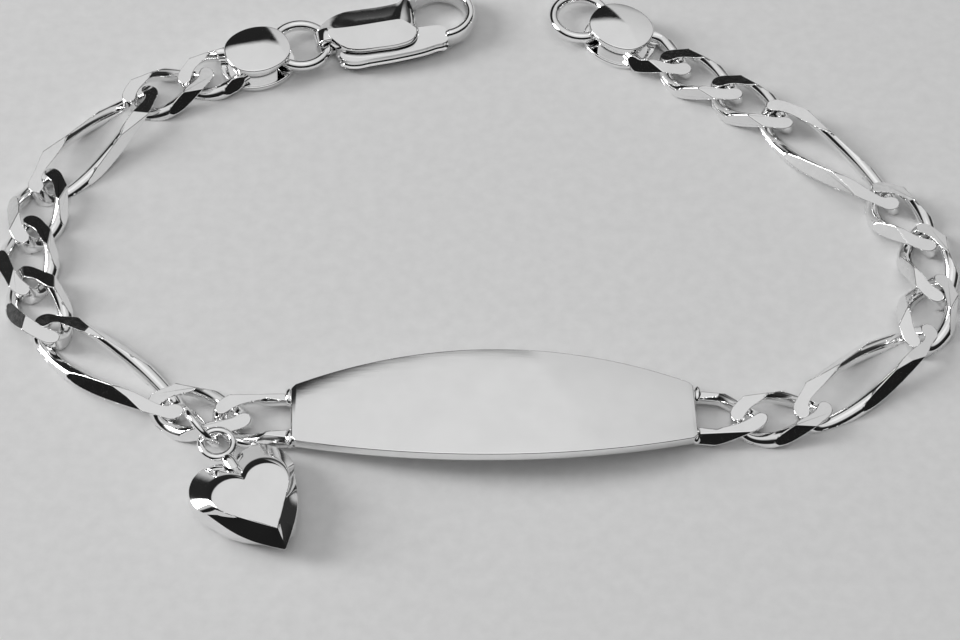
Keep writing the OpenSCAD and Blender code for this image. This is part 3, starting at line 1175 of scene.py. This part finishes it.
    def hook_rings(self) -> Points:
        """The hook: a rounded section carried round the bow from inside the body to the tip. It gets
        lower on the way, and closes over its last degrees as a quarter circle.

        Returns:
            The rings.
        """
        tip = -math.degrees(math.acos(-self.tip_back / self.hook_line_r))
        turn = angles(self.hook_from, tip, self.hook_stations)
        out = spokes(turn)
        path = np.array(self.hook_at) + self.hook_line_r * out
        cross = circle(self.hook_sides)
        cross = np.sign(cross) * np.abs(cross) ** self.hook_square
        ends = np.clip((turn - turn[-1]) / math.radians(self.hook_round), 0, 1)
        ends = np.sqrt(1 - (1 - ends) ** 2) * (1 - self.hook_end) + self.hook_end
        half_w = self.hook_half_w * ends
        gone = (math.radians(self.hook_lower_from) - turn) / math.radians(self.hook_lower_over)
        half_h = (self.hook_half_h - self.hook_lower * np.clip(gone, 0, 1)) * ends
        flat = path[:, None, :] + out[:, None, :] * (half_w[:, None] * cross[:, 0])[..., None]
        return np.dstack([flat, self.thickness / 2 + half_h[:, None] * cross[:, 1]])

    def lever_rings(self) -> Points:
        """The lever: its outline with both rims rounded.

        Returns:
            The rings.
        """
        outline = smooth_loop(self.lever[::-1], self.per_side)
        low = (self.thickness - self.lever_t) / 2
        insets, heights = rounded_rims(low, low + self.lever_t, self.lever_rim, self.lever_steps)
        return stack([inset(outline, d) for d in insets], list(heights))

    def eye_surface(self) -> Surface:
        """The eye: a rounded profile turned about the eye's own Y axis.

        Returns:
            Points and faces.
        """
        r, half = self.eye_rim, self.eye_half - self.eye_rim
        inner, outer = self.eye_inner + r, self.eye_outer - r
        corners = ((outer, half, 0), (inner, half, 90), (inner, -half, 180), (outer, -half, 270))
        profile = np.vstack([r * spokes(angles(start, start + 90, self.eye_steps)) + (x, y)
                             for x, y, start in corners])
        x, z = circle(self.eye_stations).T[:, :, None] * profile[:, 0]
        return joined(np.stack([x, np.broadcast_to(profile[:, 1], x.shape), self.thickness / 2 + z], -1))

    def build(self) -> None:
        """Builds the clasp's body, hook, lever and eye."""
        pieces = (("clasp_body_shell", capped(self.body_rings()), self.sharp, "clasp_body", Body.BRACELET),
                  ("clasp_hook_bow", capped(self.hook_rings()), self.sharp, "", Body.BRACELET),
                  ("clasp_lever_bar", capped(self.lever_rings()), self.sharp, "clasp_lever", Body.LEVER),
                  ("clasp_eye", self.eye_surface(), self.eye_sharp, "", Body.BRACELET))
        for name, surface, sharp, node, body in pieces:
            mesh = solid(name, surface, self.layout.clasp(), sharp)
            Piece(mesh, MIRROR, Slot.POLISHED, node, body).fit()


@dataclass
class HeartCharm:
    """The puffed heart with its flat face, bail and charm ring.

    Its own frame has X from the bail's middle to the tip. Half the outline is a nearly straight side
    and then a lobe's arc. A low wall stands on a rounded underside. From its top a bevel goes in to the
    flat: it rises evenly with the share that it has gone in, and eases to level over the last part.
    The wall's height and the easing's start change from the sides to the lobes. Towards the tip the wall
    gets lower and leans in below, until the underside there runs straight in from the rim, and that
    takes a shorter share of the right side than of the left.
    """

    layout: Layout
    at: Pair = (-22.2, -2.77)
    heading: float = -60.6
    width: float = 8.8
    length: float = 9.7
    thickness: float = 3.3
    top_x: float = 1.8
    lobe_r: float = 2.55
    swell: float = 0.6
    side_share: float = 0.42
    cleft: float = 2.0
    flat_width: float = 5.85
    flat_top_x: float = 4.7
    flat_tip_x: float = 10.1
    flat_lobe_r: float = 1.6
    flat_swell: float = -0.05
    wall_top: Pair = (2.4, 2.1)
    wall_in: float = 0.06
    belly_top: float = 0.6
    belly_in: float = 0.75
    ease_from: Pair = (0.9, 0.6)
    lobe_from: float = 0.4
    lobe_over: float = 0.2
    tip_share: Pair = (0.12, 0.35)
    tip_drop: float = 0.55
    tip_tuck: float = 1.4
    bail: RoundRing = RoundRing(3.16, 0.66, 96, 28)
    bail_at: Pair = (0.55, -0.05)
    bail_z: float = 2.24
    # The neck's stations: x, radius
    neck: tuple[Pair, ...] = ((1.72, 0.3), (1.85, 0.46), (2.1, 0.58), (2.6, 0.66), (3.4, 0.6))
    neck_drop: float = 0.2
    neck_sides: int = 28
    neck_sharp: float = 50.0
    ring: RoundRing = RoundRing(4.2, 0.6, 112, 28)
    ring_at: Pair = (-23.24, -1.47)
    ring_heading: float = -57.5
    ring_lean: float = 24.6
    ring_gap: float = 0.02
    columns: int = 160
    levels: int = 12
    wall_levels: int = 4
    bevel_levels: int = 20
    edge: float = 0.03
    sharp: float = 14.0

    def half_outline(self, width: float, top_x: float, tip_x: float, lobe_r: float, swell: float) -> Points:
        """Half a heart, from its tip to its cleft.

        Args:
            width: across both lobes.
            top_x: the lobes' tops.
            tip_x: the tip.
            lobe_r: the lobes' radius.
            swell: how far the middle of the side stands out.

        Returns:
            Its points.
        """
        u = self.half_share()[:self.columns // 2]
        lobe = np.array([top_x + lobe_r, width / 2 - lobe_r])
        away = math.hypot(tip_x - lobe[0], lobe[1])
        angle = math.atan2(lobe[1], tip_x - lobe[0]) + math.asin(lobe_r / away)
        side = math.sqrt(away ** 2 - lobe_r ** 2)
        end = math.pi + math.asin(min(lobe[1] / lobe_r, 1.0)) - math.radians(self.cleft)
        w = np.clip(u / self.side_share, 0, 1)[:, None]
        run = np.array([-math.cos(angle), math.sin(angle)])
        out = np.array([math.sin(angle), math.cos(angle)])
        straight = np.array([tip_x, 0.0]) + w * side * run + swell * np.sin(np.pi * w) * out
        round_share = np.clip((u - self.side_share) / (1 - self.side_share), 0, 1)
        t = math.pi / 2 - angle + round_share * (end - math.pi / 2 + angle)
        return np.where(u[:, None] < self.side_share, straight, lobe + lobe_r * spokes(t))

    def half_share(self) -> np.ndarray:
        """For each point of a whole outline, its share of the way from the tip to the cleft."""
        u = (np.arange(self.columns // 2) + 0.5) / (self.columns // 2)
        return np.concatenate([u, u[::-1]])

    def outline(self, *shape: float) -> Points:
        """A whole heart outline, anticlockwise from its tip, of a half outline's sizes."""
        half = self.half_outline(*shape)
        return np.vstack([half, half[::-1] * (1, -1)])

    def rings(self) -> Points:
        """The heart's rings from its underside up.

        Returns:
            The rings.
        """
        rim = self.outline(self.width, self.top_x, self.top_x + self.length, self.lobe_r, self.swell)
        flat = self.outline(self.flat_width, self.flat_top_x, self.flat_tip_x, self.flat_lobe_r,
                            self.flat_swell)
        lobes = ease(np.clip((self.half_share() - self.lobe_from) / self.lobe_over, 0, 1))
        tip = np.clip(1 - self.half_share() / np.repeat(self.tip_share, self.columns // 2), 0, 1)
        wall_top, ease_from = (a + (b - a) * lobes for a, b in (self.wall_top, self.ease_from))
        wall_top = wall_top - self.tip_drop * tip
        turn = angles(-90, 0, self.levels)[:, None]
        wall = np.linspace(0, 1, self.wall_levels + 1)[1:, None]
        belly = self.belly_top
        height = np.vstack([belly * (1 + np.sin(turn)), belly + (1 - belly) * wall])
        below = np.vstack([self.belly_in * (1 - np.cos(turn)), self.wall_in * wall ** 2])
        tucked = self.tip_tuck + (self.wall_in - self.tip_tuck) * height
        u = np.linspace(0, 1, self.bevel_levels + 1)[1:, None]
        slower = np.clip(u - ease_from, 0, None)
        climb = (u - slower ** 2 / (2 * (1 - ease_from))) * 2 / (1 + ease_from)
        above = self.wall_in + (1 - self.wall_in) * u + 0 * tip
        share = np.vstack([below + (tucked - below) * tip, above])
        z = np.vstack([wall_top * height, wall_top + (self.thickness - wall_top) * climb])
        return stack([rim + (flat - rim) * s[:, None] for s in share], list(z))

    def build(self) -> None:
        """Builds the heart, its bail and neck, and the charm ring."""
        seat = self.layout.seat(np.array(self.at), self.heading)
        mesh = solid("heart_charm_puff", capped(self.rings()), seat, self.sharp)
        Piece(mesh, MIRROR, Slot.POLISHED, "heart_charm", edge=self.edge, edge_angle=self.sharp).fit()
        x, y = seat.place(np.array([*self.bail_at, 0.0]))[:2]
        self.bail.build("heart_charm_bail", "", Seat(x, y, 0.0, self.bail_z))
        sides, middle = self.neck_sides, (0.0, self.bail_z - self.neck_drop)
        neck = [np.column_stack([np.full(sides, x), r * circle(sides) + middle]) for x, r in self.neck]
        mesh = solid("heart_charm_neck", capped(np.stack(neck)), seat, self.neck_sharp)
        Piece(mesh, MIRROR, Slot.POLISHED).fit()
        line_r = (self.ring.outer - self.ring.wire) / 2
        height = line_r * along(self.ring_lean)[0] + self.ring.wire / 2 + self.ring_gap
        ring_seat = self.layout.seat(np.array(self.ring_at), self.ring_heading, height)
        self.ring.build("charm_ring_wire", "charm_ring", ring_seat, 90 + self.ring_lean)


@dataclass
class Studio:
    """The pale floor, the soft surrounding light and the camera at the photograph's angle.

    Each wall's stops are a height, the sine of the elevation, and the grey there.
    """

    elevation: float = 54.0
    distance: float = 205.0
    yaw: float = 6.6
    roll: float = 5.11
    lens: float = 92.85
    sensor: float = 36.0
    target: Triple = (-0.44, -6.85, 0.0)
    floor_half: float = 900.0
    floor_greys: tuple[Pair, ...] = ((0.3, 0.79), (0.7, 0.84))
    floor_noise: Pair = (900.0, 5.0)
    floor_bump: Pair = (0.15, 0.05)
    floor_roughness: float = 0.85
    floor_shine: float = 0.25
    window_azimuth: float = 173.0
    window_elevation: float = 27.0
    window_away: float = 0.9
    window_size: Pair = (0.3, 0.51)
    window_spread: float = 80.0
    window_power: float = 1.05
    ceiling: tuple[Pair, ...] = ((0.93, 0.7), (0.98, 0.9))
    sweep: tuple[Pair, ...] = ((0.0, 0.5), (0.12, 0.5), (0.19, 0.02))
    back_left: tuple[Pair, ...] = ((0.66, 0.015), (0.71, 0.68))
    back_right: tuple[Pair, ...] = ((0.35, 0.08), (0.5, 0.55))
    right_side: tuple[Pair, ...] = ((0.0, 0.03), (0.55, 0.03), (0.7, 0.55))
    camera_side: tuple[Pair, ...] = ((0.0, 0.01), (0.62, 0.015), (0.76, 0.68))
    round_window: tuple[Pair, ...] = ((0.0, 0.6), (0.66, 0.6), (0.7, 0.3), (0.74, 0.68))
    # Where one wall gives way to the next: a direction's share along an axis that runs across them
    right_edge: Pair = (0.42, 0.52)
    middle_edge: Pair = (-0.275, -0.245)
    middle_axis: Triple = (1.0, 0.0, -0.6)
    camera_edge: Pair = (-0.25, 0.1)
    left_edge: Pair = (0.74, 0.8)
    near_left_edge: Pair = (-0.24, -0.16)
    far_left_edge: Pair = (0.3, 0.36)

    def camera(self) -> None:
        """Sets the camera: it looks down its own -Z at the target, from the distance, and rolls about
        that line."""
        yaw, e, roll = (math.radians(a) for a in (self.yaw, self.elevation, self.roll))
        forward = np.array([math.sin(yaw) * math.cos(e), math.cos(yaw) * math.cos(e), -math.sin(e)])
        level = np.array([math.cos(yaw), -math.sin(yaw), 0.0])
        upright = np.cross(level, forward)
        right = math.cos(roll) * level + math.sin(roll) * upright
        up = -math.sin(roll) * level + math.cos(roll) * upright
        at = (np.array(self.target) - self.distance * forward) * MM
        cam = bpy.data.cameras.new("camera")
        cam.lens = self.lens
        cam.sensor_width = self.sensor
        cam.clip_start = 0.01
        obj = new_object(cam)
        turn = np.column_stack([right, up, -forward])
        obj.matrix_world = Matrix.Translation(Vector(at)) @ Matrix(turn.tolist()).to_4x4()
        bpy.context.scene.camera = obj

    def floor(self) -> None:
        """Lays a large pale matt sheet under the bracelet, with a faint paper grain."""
        corners = self.floor_half * np.array([[-1, -1, 0], [1, -1, 0], [1, 1, 0], [-1, 1, 0]], float)
        mesh = lay_mesh("floor", corners, [[0, 1, 2, 3]])
        made = bpy.data.materials.new("pale_paper")
        graph = Graph(made)
        grain = graph.noise(graph.coords("Object"), *self.floor_noise)
        looks = {"Base Color": graph.ramp(grain, self.floor_greys),
                 "Normal": graph.bump(grain, *self.floor_bump)}
        matt = {"Roughness": self.floor_roughness, "Specular IOR Level": self.floor_shine}
        graph.wire(graph.tree.nodes["Principled BSDF"], matt, looks)
        mesh.materials.append(made)
        new_object(mesh)

    def sky(self) -> None:
        """Surrounds the bracelet with a soft ceiling over darker walls: one behind on the left, one
        behind on the right, one at the right-hand side, one on the side of the camera, and a pale one
        round the window on the left."""
        world = bpy.data.worlds.new("studio")
        bpy.context.scene.world = world
        graph = Graph(world)
        direction = graph.coords("Generated")
        height = graph.add("ShaderNodeSeparateXYZ", {}, {"Vector": direction}).outputs["Z"]
        left, right, beside, front, glow = (graph.ramp(height, stops + self.ceiling) for stops in (
            self.sweep + self.back_left, self.sweep + self.back_right, self.right_side, self.camera_side,
            self.round_window))

        def across(axis: Triple, edge: Pair) -> Socket:
            """Goes smoothly from 0 to 1 as a direction crosses from one wall to the next.

            Args:
                axis: the axis across the two walls.
                edge: the shares along it where one ends and the other begins.

            Returns:
                The share of the second wall.
            """
            part = graph.add("ShaderNodeVectorMath", {1: axis}, {0: direction}, operation="DOT_PRODUCT")
            ends = {"From Min": edge[0], "From Max": edge[1]}
            return graph.add("ShaderNodeMapRange", ends, {"Value": part.outputs["Value"]},
                             interpolation_type="SMOOTHSTEP").outputs["Result"]

        def mix(share: Socket, a: Socket, b: Socket) -> Socket:
            """Mixes two colours."""
            node = graph.add("ShaderNodeMix", {}, {"Factor": share, "A": a, "B": b}, data_type="RGBA")
            return node.outputs["Result"]

        y_axis = (0.0, 1.0, 0.0)
        at_right = mix(across(y_axis, self.right_edge), beside, right)
        behind = mix(across(self.middle_axis, self.middle_edge), left, at_right)
        beyond = mix(across(y_axis, self.camera_edge), front, behind)
        far_left = mix(across(y_axis, self.far_left_edge), glow, left)
        at_left = mix(across(y_axis, self.near_left_edge), front, far_left)
        light = mix(across((-1.0, 0.0, 0.0), self.left_edge), beyond, at_left)
        graph.wire(graph.tree.nodes["Background"], {"Strength": 1.0}, {"Color": light})

    def window(self) -> None:
        """A soft window low on the left, which gives the white lights and the shadows to the right."""
        lamp = bpy.data.lights.new("window", "AREA")
        lamp.shape = "RECTANGLE"
        lamp.size, lamp.size_y = self.window_size
        lamp.spread = math.radians(self.window_spread)
        lamp.energy = self.window_power
        obj = new_object(lamp)
        level, up = along(self.window_elevation)
        x, y = level * along(self.window_azimuth)
        obj.location = self.window_away * Vector((x, y, up))
        obj.rotation_euler = (-obj.location).to_track_quat("-Z", "Y").to_euler()

    def build(self) -> None:
        """Sets floor, light and camera."""
        self.floor()
        self.sky()
        self.window()
        self.camera()
        bpy.context.scene.view_settings.view_transform = "Standard"


def main() -> None:
    """Builds the bracelet's sub-assemblies in order, then the studio."""
    logging.basicConfig(level=logging.INFO, format="%(name)s: %(message)s")
    layout = Layout()
    chain = Chain(layout)
    short = chain.link(LinkKind.SHORT)
    chain.build()
    NamePlate(layout).build(short)
    for side, node in enumerate(("left_end_tag", "right_end_tag")):
        EndTag(layout).build(side, node, short)
    for side, node in enumerate(("jump_ring", "end_ring")):
        RoundRing(layout.ring_outer, layout.ring_wire).build(f"{node}_wire", node, layout.ring(side))
    Clasp(layout).build()
    HeartCharm(layout).build()
    Studio().build()


if __name__ == "__main__":
    main()
